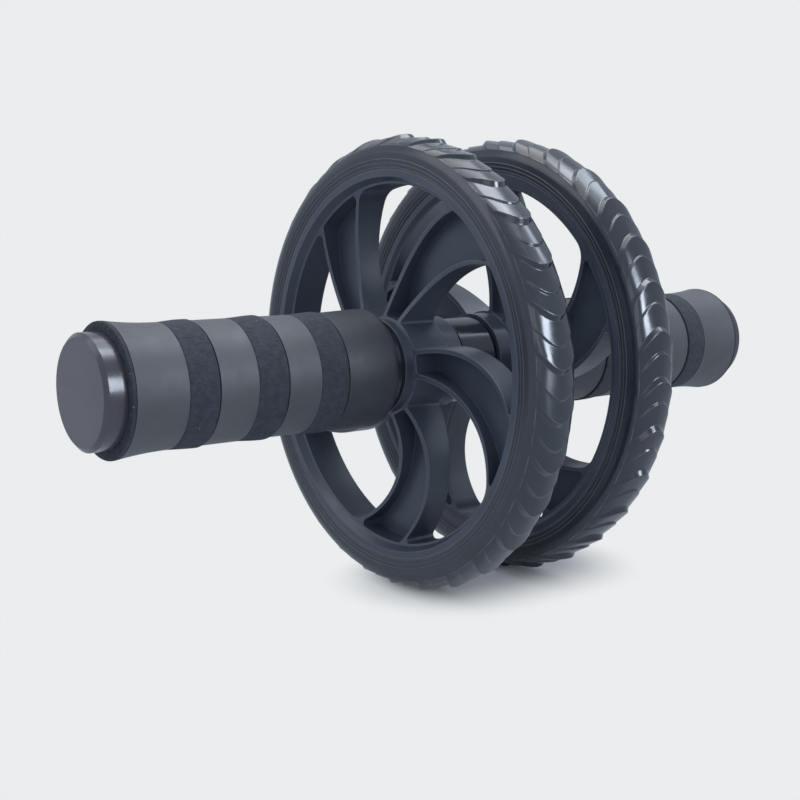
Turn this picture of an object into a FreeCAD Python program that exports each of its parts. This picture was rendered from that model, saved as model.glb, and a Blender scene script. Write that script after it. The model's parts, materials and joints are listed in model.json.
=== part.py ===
"""Double ab wheel roller: two free-turning wheels on one axle, with a banded grip at each end.

Millimetres, +Z up. The axle lies along Y, with the origin on it midway between the wheels.
Each handle and each wheel is drawn for the +Y side. The -Y one is the same set of pieces,
turned half a turn about Z.
"""
import FreeCAD, Part
import math
import os
from dataclasses import dataclass
from types import SimpleNamespace

import Sketcher

SIZES = {
    # Running fits and seats
    "running_clearance": 0.05,
    "thrust_gap": 0.3,
    "seat_clearance": 0.1,
    # Axle
    "axle_radius": 6.0,
    "thread_radius": 5.0,
    "thread_stand_out": 3.0,
    "axle_chamfer": 0.8,
    "washer_radius": 10.0,
    "washer_thickness": 2.0,
    "nut_corner_radius": 9.8,
    "nut_height": 8.0,
    "nut_side_count": 6,
    "nut_turn_angle": 15,
    # Tyre, from the tread inwards
    "tyre_radius": 89.2,
    "tyre_half_width": 10.0,
    "crown_half_width": 5.0,
    "crown_drop": 1.0,
    "tread_margin": 1.1,
    "tread_edge_drop": 4.284,
    "tread_edge_thickness": 2.5,
    "shoulder_drop": 7.4,
    "shoulder_round": 8.0,
    "sidewall_height": 6.2,
    "sidewall_round": 20.0,
    # Tread lugs
    "lug_count": 30,
    "lug_height": 1.5,
    "lug_notch_depth": 0.55,
    "lug_notch_share": 0.04,
    "lug_step_share": 0.1,
    "lug_edge_share": 0.1,
    "lug_sweep_angle": 5.0,
    # Wheel core
    "wheel_offset": 25.85,
    "hub_radius": 18.4,
    "hub_wall": 2.4,
    "hub_bore_radius": 9.0,
    "hub_tube_wall": 2.8,
    "hub_inward_reach": 16.15,
    "hub_outward_reach": 12.85,
    "hub_recess_depth": 9.0,
    "rim_half_width": 9.35,
    "rim_lip_width": 2.6,
    "rim_flange_height": 1.6,
    "rim_flange_width": 1.8,
    "rim_wall": 2.8,
    "spoke_front_at_hub": 8.95,
    "spoke_front_at_rim": 6.2,
    "spoke_dish_depth": 5.3,
    "spoke_back": 8.2,
    "window_land": 0.8,
    "spoke_count": 5,
    "spoke_sweep_angle": 32.0,
    "spoke_hub_half_angle": 16.0,
    "spoke_rim_half_angle": 12.6,
    "spoke_arc_radius": 46.0,
    "rib_thickness": 1.7,
    "web_front": -2.4,
    "web_back": 5.2,
    "rim_corner_round": 1.6,
    "window_corner_round": 9.0,
    "hub_corner_round": 1.2,
    "right_wheel_turn": 37.0,
    "left_wheel_turn": -3.8,
    # Bushes
    "bush_length": 12.0,
    "bush_flange_radius": 13.0,
    "bush_flange_thickness": 1.4,
    # Sleeve between the hubs
    "spacer_radius": 17.2,
    "spacer_wall": 2.6,
    "spacer_web_half": 1.5,
    "spacer_boss_wall": 2.6,
    # Handle core
    "core_radius": 17.0,
    "core_wall": 2.4,
    "core_flange_radius": 18.4,
    "core_flange_thickness": 3.3,
    "core_web_thickness": 5.0,
    "core_web_setback": 24.0,
    # Grip, from the wheel outwards
    "grip_thickness": 4.95,
    "grip_shoulder_rise": 0.8,
    "grip_shoulder_round": 3.5,
    "grip_flare_rise": 1.5,
    "foam_crown": 0.45,
    "grip_ring_1_length": 23.5,
    "foam_ring_1_length": 12.3,
    "grip_ring_2_length": 13.5,
    "foam_ring_2_length": 12.6,
    "grip_ring_3_length": 15.0,
    "foam_ring_3_length": 11.9,
    "grip_ring_4_length": 19.9,
    "foam_collar_length": 1.4,
    "collar_round": 0.7,
    # End cap
    "cap_radius": 20.1,
    "cap_height": 7.9,
    "cap_bevel_depth": 1.3,
    "cap_bevel_width": 1.5,
    "cap_wall": 2.2,
    "plug_depth": 10.0,
}

SIDES = ("right", "left")
LENGTHWISE = FreeCAD.Vector(0, 1, 0)
UPRIGHT = FreeCAD.Vector(0, 0, 1)
SAME_POINT = 1e-4
SAME_ANGLE = 1e-3


@dataclass(frozen=True)
class Size:
    """A number together with the spreadsheet formula that gives it."""

    value: float
    formula: str

    @staticmethod
    def of(number):
        """Let plain numbers stand in a sum or product of sizes."""
        return number if isinstance(number, Size) else Size(float(number), str(number))

    def join(self, sign, other, value):
        return Size(value, f"({self.formula} {sign} {Size.of(other).formula})")

    def __add__(self, other):
        return self.join("+", other, self.value + Size.of(other).value)

    def __sub__(self, other):
        return self.join("-", other, self.value - Size.of(other).value)

    def __mul__(self, other):
        return self.join("*", other, self.value * Size.of(other).value)

    def __truediv__(self, other):
        return self.join("/", other, self.value / Size.of(other).value)

    def __neg__(self):
        return self * -1

    def cos(self):
        """Cosine of an angle in degrees."""
        return Size(math.cos(math.radians(self.value)), f"cos({self.formula} * 1deg)")

    def sin(self):
        """Sine of an angle in degrees."""
        return Size(math.sin(math.radians(self.value)), f"sin({self.formula} * 1deg)")


S = SimpleNamespace(**{alias: Size(number, f"Sizes.{alias}") for alias, number in SIZES.items()})
ON_AXIS = Size(0.0, "0")


@dataclass(frozen=True)
class Corner:
    """A corner of a closed outline, and the edge that leaves it.

    The edge is straight, or an arc of `radius` that turns left (1) or right (-1) on its way.
    """

    across: Size
    up: Size
    radius: Size = None
    turn: int = 1


def polar(radius, angle, arc=None, turn=1):
    """A corner at a distance from the wheel's axis and an angle in degrees from +X."""
    return Corner(radius * angle.cos(), radius * angle.sin(), arc, turn)


def arc_radius(half_chord, rise):
    """Radius of the arc that rises by `rise` over `half_chord`."""
    return (half_chord * half_chord + rise * rise) / (rise * 2)


def make_sheet(doc):
    """Write the driving dimensions into the document's spreadsheet."""
    sheet = doc.addObject("Spreadsheet::Sheet", "Sizes")
    for row, (alias, number) in enumerate(SIZES.items(), start=1):
        sheet.set(f"A{row}", alias)
        sheet.set(f"B{row}", str(number))
        sheet.setAlias(f"B{row}", alias)
    doc.recompute()


def in_sheet(doc, size):
    """What a size's formula comes to in the document's spreadsheet."""
    return float(doc.getObject("Sizes").evalExpression(size.formula))


def origin_feature(body, role):
    """The body's own origin plane or axis with this role."""
    return next(feature for feature in body.Origin.OriginFeatures if feature.Role == role)


def new_sketch(body, name, plane, along_normal=None):
    """A sketch on one of the body's origin planes, moved along its normal if a size is given."""
    sketch = body.newObject("Sketcher::SketchObject", name)
    sketch.AttachmentSupport = (origin_feature(body, plane), [""])
    sketch.MapMode = "FlatFace"
    if along_normal is not None:
        sketch.setExpression("AttachmentOffset.Base.z", along_normal.formula)
    return sketch


def bind(sketch, constraint, size):
    """Add a constraint whose value follows the spreadsheet."""
    number = sketch.addConstraint(constraint)
    sketch.setExpression(f"Constraints[{number}]", size.formula)


def arc_between(start, finish, radius, turn):
    """The arc shorter than half a circle from start to finish that turns left (1) or right (-1)."""
    first, last = (start, finish) if turn > 0 else (finish, start)
    chord = last - first
    middle = (first + last) * 0.5
    left = FreeCAD.Vector(-chord.y, chord.x, 0).normalize()
    centre = middle + left * math.sqrt(radius ** 2 - chord.Length ** 2 / 4)
    first_angle = math.atan2(first.y - centre.y, first.x - centre.x)
    last_angle = math.atan2(last.y - centre.y, last.x - centre.x)
    if last_angle < first_angle:
        last_angle += math.tau
    return Part.ArcOfCircle(Part.Circle(centre, UPRIGHT, radius), first_angle, last_angle)


def add_outline(sketch, corners):
    """Draw a closed outline with every corner and arc bound to the spreadsheet."""
    edges = []
    for corner, following in zip(corners, corners[1:] + corners[:1]):
        start = FreeCAD.Vector(corner.across.value, corner.up.value, 0)
        finish = FreeCAD.Vector(following.across.value, following.up.value, 0)
        if corner.radius is None:
            index = sketch.addGeometry(Part.LineSegment(start, finish))
            edges.append((index, 1, 2))
            continue
        index = sketch.addGeometry(arc_between(start, finish, corner.radius.value, corner.turn))
        edges.append((index, 1, 2) if corner.turn > 0 else (index, 2, 1))
        bind(sketch, Sketcher.Constraint("Radius", index, corner.radius.value), corner.radius)
    for (index, _, last), (following, first, _) in zip(edges, edges[1:] + edges[:1]):
        sketch.addConstraint(Sketcher.Constraint("Coincident", index, last, following, first))
    for (index, first, _), corner in zip(edges, corners):
        across = Sketcher.Constraint("DistanceX", -1, 1, index, first, corner.across.value)
        bind(sketch, across, corner.across)
        if corner.up is ON_AXIS:
            sketch.addConstraint(Sketcher.Constraint("PointOnObject", index, first, -1))
            continue
        upwards = Sketcher.Constraint("DistanceY", -1, 1, index, first, corner.up.value)
        bind(sketch, upwards, corner.up)


def side_placement(side):
    """Where a drawn piece stands on a side: as drawn, or half a turn about Z from there."""
    half_turns = SIDES.index(side)
    return FreeCAD.Placement(FreeCAD.Vector(), FreeCAD.Rotation(UPRIGHT, 180 * half_turns))


def new_body(doc, label, placement=None):
    body = doc.addObject("PartDesign::Body", label)
    body.Label = label
    if placement is not None:
        body.Placement = placement
    return body


def revolved(doc, label, corners, placement=None):
    """A body turned about the axle from a section of (distance along Y, radius) corners."""
    body = new_body(doc, label, placement)
    sketch = new_sketch(body, f"{label}_section", "YZ_Plane")
    add_outline(sketch, corners)
    turn = body.newObject("PartDesign::Revolution", f"{label}_turn")
    turn.Profile = sketch
    turn.ReferenceAxis = (sketch, ["H_Axis"])
    turn.Angle = 360
    return body


def ring(start, finish, inner, outer):
    """The section of a plain ring."""
    return [Corner(start, inner), Corner(finish, inner), Corner(finish, outer), Corner(start, outer)]


# Places along Y, from the middle outwards, that several pieces share.
HUB_INNER_END = S.wheel_offset - S.hub_inward_reach
HUB_OUTER_END = S.wheel_offset + S.hub_outward_reach
SPACER_END = HUB_INNER_END - S.bush_flange_thickness - S.thrust_gap
CORE_START = HUB_OUTER_END + S.bush_flange_thickness + S.thrust_gap
GRIP_START = CORE_START + S.core_flange_thickness
GRIP_BANDS = (
    "grip_ring_1",
    "foam_ring_1",
    "grip_ring_2",
    "foam_ring_2",
    "grip_ring_3",
    "foam_ring_3",
    "grip_ring_4",
    "foam_collar",
)


def band_edges():
    """Where each grip band starts and ends along Y."""
    edges = {}
    start = GRIP_START
    for band in GRIP_BANDS:
        finish = start + getattr(S, f"{band}_length")
        edges[band] = (start, finish)
        start = finish
    return edges


BAND_EDGES = band_edges()
GRIP_END = BAND_EDGES["foam_collar"][1]
WEB_FINISH = GRIP_END - S.core_web_setback
WEB_START = WEB_FINISH - S.core_web_thickness
WASHER_END = WEB_FINISH + S.washer_thickness
NUT_END = WASHER_END + S.nut_height
AXLE_END = NUT_END + S.thread_stand_out
AXLE_BORE = S.axle_radius + S.running_clearance
THREAD_BORE = S.thread_radius + S.running_clearance
CORE_INNER_RADIUS = S.core_radius - S.core_wall
GRIP_INNER_RADIUS = S.core_radius + S.seat_clearance
GRIP_RADIUS = GRIP_INNER_RADIUS + S.grip_thickness
GRIP_SHOULDER_RADIUS = GRIP_RADIUS + S.grip_shoulder_rise
GRIP_FLARE_RADIUS = GRIP_RADIUS + S.grip_flare_rise

# The tyre and the rim are stacked from the tread inwards.
CROWN_EDGE_RADIUS = S.tyre_radius - S.crown_drop
CROWN_ROUND = arc_radius(S.crown_half_width, S.crown_drop)
TREAD_HALF_WIDTH = S.tyre_half_width - S.tread_margin
TREAD_EDGE_RADIUS = S.tyre_radius - S.tread_edge_drop
TREAD_BED_RADIUS = TREAD_EDGE_RADIUS - S.tread_edge_thickness
SHOULDER_RADIUS = S.tyre_radius - S.shoulder_drop
RIM_FLANGE_RADIUS = SHOULDER_RADIUS - S.sidewall_height
RIM_LIP_RADIUS = RIM_FLANGE_RADIUS - S.rim_lip_width
TYRE_SEAT_RADIUS = RIM_FLANGE_RADIUS - S.rim_flange_height
TYRE_SEAT_HALF = S.rim_half_width - S.rim_flange_width
RIM_INNER_RADIUS = TYRE_SEAT_RADIUS - S.rim_wall


def make_axle(doc):
    """The steel rod, stepped down to a threaded end on each side."""
    far_half = [
        Corner(AXLE_END, S.thread_radius - S.axle_chamfer),
        Corner(AXLE_END - S.axle_chamfer, S.thread_radius),
        Corner(WEB_START, S.thread_radius),
        Corner(WEB_START, S.axle_radius),
    ]
    near_half = [Corner(-corner.across, corner.up) for corner in reversed(far_half)]
    ends = [Corner(-AXLE_END, ON_AXIS), Corner(AXLE_END, ON_AXIS)]
    return revolved(doc, "axle", ends + far_half + near_half)


def make_centre_spacer(doc):
    """The sleeve between the hubs: a boss on the axle, a web and an outer wall."""
    boss = AXLE_BORE + S.spacer_boss_wall
    wall = S.spacer_radius - S.spacer_wall
    far_half = [
        Corner(SPACER_END, AXLE_BORE),
        Corner(SPACER_END, boss),
        Corner(S.spacer_web_half, boss),
        Corner(S.spacer_web_half, wall),
        Corner(SPACER_END, wall),
        Corner(SPACER_END, S.spacer_radius),
    ]
    near_half = [Corner(-corner.across, corner.up) for corner in reversed(far_half)]
    return revolved(doc, "centre_spacer", far_half + near_half)


def wheel_section():
    """Hub, dished spoke disc and rim as one closed section, from the bore outwards."""
    middle = S.wheel_offset
    tube = S.hub_bore_radius + S.hub_tube_wall
    barrel = S.hub_radius - S.hub_wall
    outer_floor = HUB_OUTER_END - S.hub_recess_depth
    inner_floor = HUB_INNER_END + S.hub_recess_depth
    outer_lip = middle + S.rim_half_width
    inner_lip = middle - S.rim_half_width
    disc_back = middle - S.spoke_back
    disc_span = RIM_INNER_RADIUS - S.hub_radius
    dish = arc_radius(disc_span / 2, S.spoke_dish_depth)
    return [
        Corner(HUB_INNER_END, S.hub_bore_radius),
        Corner(HUB_OUTER_END, S.hub_bore_radius),
        Corner(HUB_OUTER_END, tube),
        Corner(outer_floor, tube),
        Corner(outer_floor, barrel),
        Corner(HUB_OUTER_END, barrel),
        Corner(HUB_OUTER_END, S.hub_radius),
        Corner(middle + S.spoke_front_at_hub, S.hub_radius, dish, -1),
        Corner(middle + S.spoke_front_at_rim, RIM_INNER_RADIUS),
        Corner(outer_lip, RIM_LIP_RADIUS),
        Corner(outer_lip, RIM_FLANGE_RADIUS),
        Corner(middle + TYRE_SEAT_HALF, RIM_FLANGE_RADIUS),
        Corner(middle + TYRE_SEAT_HALF, TYRE_SEAT_RADIUS),
        Corner(middle - TYRE_SEAT_HALF, TYRE_SEAT_RADIUS),
        Corner(middle - TYRE_SEAT_HALF, RIM_FLANGE_RADIUS),
        Corner(inner_lip, RIM_FLANGE_RADIUS),
        Corner(inner_lip, RIM_LIP_RADIUS),
        Corner(disc_back, RIM_INNER_RADIUS),
        Corner(disc_back, S.hub_radius),
        Corner(HUB_INNER_END, S.hub_radius),
        Corner(HUB_INNER_END, barrel),
        Corner(inner_floor, barrel),
        Corner(inner_floor, tube),
        Corner(HUB_INNER_END, tube),
    ]


WINDOW_INNER = S.hub_radius + S.window_land
WINDOW_OUTER = RIM_INNER_RADIUS - S.window_land
SPOKE_PITCH = Size.of(360) / S.spoke_count


def degrees_across(width, radius):
    """The angle that a width takes up at a radius."""
    return width / radius * math.degrees(1)


RIB_HUB_ANGLE = degrees_across(S.rib_thickness, WINDOW_INNER)
RIB_RIM_ANGLE = degrees_across(S.rib_thickness, WINDOW_OUTER)
# The turned section starts and ends at the top, where a rib stands on the hub.
SECTION_START = Size.of(90)
SPOKE_HUB_ANGLE = SECTION_START - SPOKE_PITCH + S.spoke_hub_half_angle - RIB_HUB_ANGLE / 2
SPOKE_RIM_ANGLE = SPOKE_HUB_ANGLE + S.spoke_sweep_angle
CHANNEL_HUB_HALF = S.spoke_hub_half_angle - RIB_HUB_ANGLE
CHANNEL_RIM_HALF = S.spoke_rim_half_angle - RIB_RIM_ANGLE


def swept_pocket(hub_from, hub_to, rim_from, rim_to):
    """An outline between two swept rib sides, closed by arcs about the hub and inside the rim."""
    return [
        polar(WINDOW_INNER, hub_from, S.spoke_arc_radius, 1),
        polar(WINDOW_OUTER, rim_from, WINDOW_OUTER, 1),
        polar(WINDOW_OUTER, rim_to, S.spoke_arc_radius, -1),
        polar(WINDOW_INNER, hub_to, WINDOW_INNER, -1),
    ]


def window_outline():
    """The open window from one spoke to the next."""
    return swept_pocket(
        SPOKE_HUB_ANGLE + S.spoke_hub_half_angle,
        SPOKE_HUB_ANGLE + SPOKE_PITCH - S.spoke_hub_half_angle,
        SPOKE_RIM_ANGLE + S.spoke_rim_half_angle,
        SPOKE_RIM_ANGLE + SPOKE_PITCH - S.spoke_rim_half_angle,
    )


def channel_outline():
    """The channel between the two ribs of a spoke."""
    return swept_pocket(
        SPOKE_HUB_ANGLE - CHANNEL_HUB_HALF,
        SPOKE_HUB_ANGLE + CHANNEL_HUB_HALF,
        SPOKE_RIM_ANGLE - CHANNEL_RIM_HALF,
        SPOKE_RIM_ANGLE + CHANNEL_RIM_HALF,
    )


def add_pocket(body, name, outline, floor, inwards):
    """Cut an outline out of the wheel, from a floor at `floor` along Y to past one face."""
    sketch = new_sketch(body, f"{name}_outline", "XZ_Plane", -floor)
    add_outline(sketch, outline)
    pocket = body.newObject("PartDesign::Pocket", name)
    pocket.Profile = sketch
    pocket.Type = "ThroughAll"
    pocket.Reversed = inwards
    return pocket


def stands_at(point, angle):
    """Whether a point lies at an angle round the axle, or whole spoke pitches away from it."""
    away = (math.degrees(math.atan2(point.z, point.x)) - angle) % SPOKE_PITCH.value
    return min(away, SPOKE_PITCH.value - away) < SAME_ANGLE


def corner_edges(shape, radius, angles):
    """Names of the edges along Y that stand at this radius from the axle and at one of the angles."""
    names = []
    for number, edge in enumerate(shape.Edges, start=1):
        ends = [vertex.Point for vertex in edge.Vertexes]
        if len(ends) != 2 or not isinstance(edge.Curve, Part.Line):
            continue
        reach = [math.hypot(point.x, point.z) for point in ends]
        at_radius = all(abs(distance - radius) < SAME_POINT for distance in reach)
        if at_radius and any(stands_at(ends[0], angle) for angle in angles):
            names.append(f"Edge{number}")
    return names


def round_corners(doc, body, name, at_radius, at_angles, corner_round):
    """Round the corners of windows and channels that stand at one radius and some angles."""
    doc.recompute()
    base = body.Tip
    angles = [angle.value for angle in at_angles]
    fillet = body.newObject("PartDesign::Fillet", name)
    fillet.Base = (base, corner_edges(base.Shape, at_radius.value, angles))
    fillet.setExpression("Radius", corner_round.formula)


def make_wheel_core(doc, side):
    """The moulded wheel: five swept spokes, each two ribs with a web between them."""
    label = f"{side}_wheel_core"
    body = revolved(doc, label, wheel_section(), wheel_placement(side))
    cuts = [
        add_pocket(body, f"{label}_window", window_outline(), HUB_INNER_END, False),
        add_pocket(body, f"{label}_front", channel_outline(), S.wheel_offset + S.web_front, False),
        add_pocket(body, f"{label}_back", channel_outline(), S.wheel_offset - S.web_back, True),
    ]
    doc.recompute()
    pattern = body.newObject("PartDesign::PolarPattern", f"{label}_spokes")
    pattern.Originals = cuts
    pattern.Axis = (origin_feature(body, "Y_Axis"), [""])
    pattern.Angle = 360
    pattern.setExpression("Occurrences", S.spoke_count.formula)
    body.Tip = pattern
    tight_corners = [
        SPOKE_RIM_ANGLE - S.spoke_rim_half_angle,
        SPOKE_RIM_ANGLE - CHANNEL_RIM_HALF,
        SPOKE_RIM_ANGLE + CHANNEL_RIM_HALF,
    ]
    wide_corner = SPOKE_RIM_ANGLE + S.spoke_rim_half_angle
    hub_corners = [
        SPOKE_HUB_ANGLE - S.spoke_hub_half_angle,
        SPOKE_HUB_ANGLE - CHANNEL_HUB_HALF,
        SPOKE_HUB_ANGLE + CHANNEL_HUB_HALF,
        SPOKE_HUB_ANGLE + S.spoke_hub_half_angle,
    ]
    round_corners(doc, body, f"{label}_rim_rounds", WINDOW_OUTER, tight_corners, S.rim_corner_round)
    round_corners(doc, body, f"{label}_window_rounds", WINDOW_OUTER, [wide_corner], S.window_corner_round)
    round_corners(doc, body, f"{label}_hub_rounds", WINDOW_INNER, hub_corners, S.hub_corner_round)
    return body


def wheel_placement(side):
    """Each wheel stands at the turn about the axle that the photograph shows."""
    turned = getattr(S, f"{side}_wheel_turn").value
    spin = FreeCAD.Placement(FreeCAD.Vector(), FreeCAD.Rotation(-LENGTHWISE, turned))
    return side_placement(side) * spin


def carcass_section():
    """The tyre under its tread, with a tongue that sits between the rim's flanges."""
    middle = S.wheel_offset
    return [
        Corner(middle - TYRE_SEAT_HALF, TYRE_SEAT_RADIUS),
        Corner(middle + TYRE_SEAT_HALF, TYRE_SEAT_RADIUS),
        Corner(middle + TYRE_SEAT_HALF, RIM_FLANGE_RADIUS),
        Corner(middle + S.rim_half_width, RIM_FLANGE_RADIUS, S.sidewall_round),
        Corner(middle + S.tyre_half_width, SHOULDER_RADIUS, S.shoulder_round),
        Corner(middle + TREAD_HALF_WIDTH, TREAD_EDGE_RADIUS),
        Corner(middle + TREAD_HALF_WIDTH, TREAD_BED_RADIUS),
        Corner(middle - TREAD_HALF_WIDTH, TREAD_BED_RADIUS),
        Corner(middle - TREAD_HALF_WIDTH, TREAD_EDGE_RADIUS, S.shoulder_round),
        Corner(middle - S.tyre_half_width, SHOULDER_RADIUS, S.sidewall_round),
        Corner(middle - S.rim_half_width, RIM_FLANGE_RADIUS),
        Corner(middle - TYRE_SEAT_HALF, RIM_FLANGE_RADIUS),
    ]


def tread_radius(doc, across):
    """The tread's radius at a distance from the wheel's middle, on its crown or its shoulder."""
    crown_edge = FreeCAD.Vector(in_sheet(doc, S.crown_half_width), in_sheet(doc, CROWN_EDGE_RADIUS), 0)
    if abs(across) <= crown_edge.x:
        far_edge = FreeCAD.Vector(-crown_edge.x, crown_edge.y, 0)
        arc = arc_between(crown_edge, far_edge, in_sheet(doc, CROWN_ROUND), 1)
    else:
        edge = FreeCAD.Vector(in_sheet(doc, TREAD_HALF_WIDTH), in_sheet(doc, TREAD_EDGE_RADIUS), 0)
        arc = arc_between(edge, crown_edge, in_sheet(doc, S.shoulder_round), 1)
    return arc.Center.y + math.sqrt(arc.Radius ** 2 - (abs(across) - arc.Center.x) ** 2)


def lug_outline(doc, across):
    """All lugs in one plane across the wheel, each a ramp with a notch half way, then a step."""
    sheet = doc.getObject("Sizes")
    tip = tread_radius(doc, across)
    share = abs(across) / in_sheet(doc, TREAD_HALF_WIDTH)
    fade = 1 - (1 - sheet.lug_edge_share) * share ** 4
    lag = sheet.lug_sweep_angle * share ** 2
    height = sheet.lug_height * fade
    half_way = 0.5
    ramp = [
        (0, height),
        (half_way - sheet.lug_notch_share, height * half_way),
        (half_way, height * half_way + sheet.lug_notch_depth * fade),
        (1 - sheet.lug_step_share, 0),
    ]
    pitch = 360 / sheet.lug_count
    points = []
    for lug in range(int(sheet.lug_count)):
        for along, depth in ramp:
            angle = math.radians(pitch * (lug + along) - lag)
            spoke = FreeCAD.Vector(math.cos(angle), 0, math.sin(angle))
            points.append(LENGTHWISE * (sheet.wheel_offset + across) + spoke * (tip - depth))
    return Part.makePolygon(points + points[:1])


def tread_band(doc):
    """The saw-tooth lugs, lofted through sections that lie closer together at the shoulders."""
    half_width = in_sheet(doc, TREAD_HALF_WIDTH)
    section_count = 9
    sections = []
    for number in range(section_count):
        swing = math.pi * (number / (section_count - 1) - 0.5)
        sections.append(lug_outline(doc, half_width * math.sin(swing)))
    lugs = Part.makeLoft(sections, True)
    inner_face = LENGTHWISE * (in_sheet(doc, S.wheel_offset) - half_width)
    bed = Part.makeCylinder(in_sheet(doc, TREAD_BED_RADIUS), 2 * half_width, inner_face, LENGTHWISE)
    return lugs.cut(bed)


def make_tyre(doc, side):
    """The rubber ring: a turned carcass and the tread moulded round it."""
    label = f"{side}_tyre"
    carcass = revolved(doc, f"{label}_carcass", carcass_section())
    tread = doc.addObject("Part::Feature", f"{label}_tread")
    tread.Shape = tread_band(doc)
    tyre = doc.addObject("Part::Fuse", label)
    tyre.Base = carcass
    tyre.Tool = tread
    tyre.Placement = wheel_placement(side)
    return tyre


def make_bush(doc, side, end):
    """A flanged bush pushed into one end of the hub."""
    outwards = 1 if end == "outer" else -1
    face = HUB_OUTER_END if end == "outer" else HUB_INNER_END
    barrel = S.hub_bore_radius - S.running_clearance
    flange_face = face + S.bush_flange_thickness * outwards
    tail = face - S.bush_length * outwards
    corners = [
        Corner(tail, AXLE_BORE),
        Corner(flange_face, AXLE_BORE),
        Corner(flange_face, S.bush_flange_radius),
        Corner(face, S.bush_flange_radius),
        Corner(face, barrel),
        Corner(tail, barrel),
    ]
    return revolved(doc, f"{side}_{end}_bush", corners, wheel_placement(side))


def make_handle_core(doc, side):
    """The plastic tube under the grip: a flange beside the wheel and a web that the nut clamps."""
    web_end = CORE_START + S.core_web_thickness
    corners = [
        Corner(CORE_START, AXLE_BORE),
        Corner(web_end, AXLE_BORE),
        Corner(web_end, CORE_INNER_RADIUS),
        Corner(WEB_START, CORE_INNER_RADIUS),
        Corner(WEB_START, THREAD_BORE),
        Corner(WEB_FINISH, THREAD_BORE),
        Corner(WEB_FINISH, CORE_INNER_RADIUS),
        Corner(GRIP_END, CORE_INNER_RADIUS),
        Corner(GRIP_END, S.core_radius),
        Corner(GRIP_START, S.core_radius),
        Corner(GRIP_START, S.core_flange_radius),
        Corner(CORE_START, S.core_flange_radius),
    ]
    return revolved(doc, f"{side}_handle_core", corners, side_placement(side))


def make_axle_washer(doc, side):
    corners = ring(WEB_FINISH, WASHER_END, THREAD_BORE, S.washer_radius)
    return revolved(doc, f"{side}_axle_washer", corners, side_placement(side))


def make_lock_nut(doc, side):
    """A hexagon nut on the threaded end of the axle."""
    label = f"{side}_lock_nut"
    body = new_body(doc, label, side_placement(side))
    sketch = new_sketch(body, f"{label}_outline", "XZ_Plane", -WASHER_END)
    side_angle = Size.of(360) / S.nut_side_count
    add_outline(sketch, [
        polar(S.nut_corner_radius, S.nut_turn_angle + side_angle * number)
        for number in range(S.nut_side_count.value)
    ])
    bore = sketch.addGeometry(Part.Circle(FreeCAD.Vector(), UPRIGHT, THREAD_BORE.value))
    sketch.addConstraint(Sketcher.Constraint("Coincident", bore, 3, -1, 1))
    bind(sketch, Sketcher.Constraint("Radius", bore, THREAD_BORE.value), THREAD_BORE)
    pad = body.newObject("PartDesign::Pad", f"{label}_pad")
    pad.Profile = sketch
    pad.Reversed = True
    pad.setExpression("Length", S.nut_height.formula)
    return body


def grip_ring_section(band):
    """A smooth grey ring; the first has a rounded shoulder and the last flares to the end."""
    start, finish = BAND_EDGES[band]
    corners = ring(start, finish, GRIP_INNER_RADIUS, GRIP_RADIUS)
    if band == "grip_ring_1":
        corners[3:] = [
            Corner(start + S.grip_shoulder_round, GRIP_SHOULDER_RADIUS, S.grip_shoulder_round),
            Corner(start, GRIP_SHOULDER_RADIUS - S.grip_shoulder_round),
        ]
    if band == "grip_ring_4":
        flare = arc_radius(S.grip_ring_4_length, GRIP_FLARE_RADIUS - GRIP_RADIUS)
        corners[2] = Corner(finish, GRIP_FLARE_RADIUS, flare, -1)
    return corners


def foam_ring_section(band):
    """A dark foam ring, crowned between the grey rings beside it."""
    start, finish = BAND_EDGES[band]
    corners = ring(start, finish, GRIP_INNER_RADIUS, GRIP_RADIUS)
    crown = arc_radius((finish - start) / 2, S.foam_crown)
    corners[2] = Corner(finish, GRIP_RADIUS, crown)
    return corners


def foam_collar_section(band):
    """The thin foam collar whose face shows round the end cap."""
    start, finish = BAND_EDGES[band]
    return [
        Corner(start, GRIP_INNER_RADIUS),
        Corner(finish, GRIP_INNER_RADIUS),
        Corner(finish, GRIP_FLARE_RADIUS - S.collar_round, S.collar_round),
        Corner(finish - S.collar_round, GRIP_FLARE_RADIUS),
        Corner(start, GRIP_FLARE_RADIUS),
    ]


def make_grip(doc, side):
    """The eight bands of one grip, threaded on the handle core."""
    sections = {"grip": grip_ring_section, "foam": foam_ring_section}
    bodies = []
    for band in GRIP_BANDS:
        section = foam_collar_section if band == "foam_collar" else sections[band.split("_")[0]]
        bodies.append(revolved(doc, f"{side}_{band}", section(band), side_placement(side)))
    return bodies


def make_end_cap(doc, side):
    """The glossy cap: a bevelled disc on the grip's end and a hollow plug inside the core."""
    cap_end = GRIP_END + S.cap_height
    plug = CORE_INNER_RADIUS - S.seat_clearance
    hollow = plug - S.cap_wall
    corners = [
        Corner(cap_end - S.cap_wall, ON_AXIS),
        Corner(cap_end, ON_AXIS),
        Corner(cap_end, S.cap_radius - S.cap_bevel_width),
        Corner(cap_end - S.cap_bevel_depth, S.cap_radius),
        Corner(GRIP_END, S.cap_radius),
        Corner(GRIP_END, plug),
        Corner(GRIP_END - S.plug_depth, plug),
        Corner(GRIP_END - S.plug_depth, hollow),
        Corner(cap_end - S.cap_wall, hollow),
    ]
    return revolved(doc, f"{side}_end_cap", corners, side_placement(side))


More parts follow.
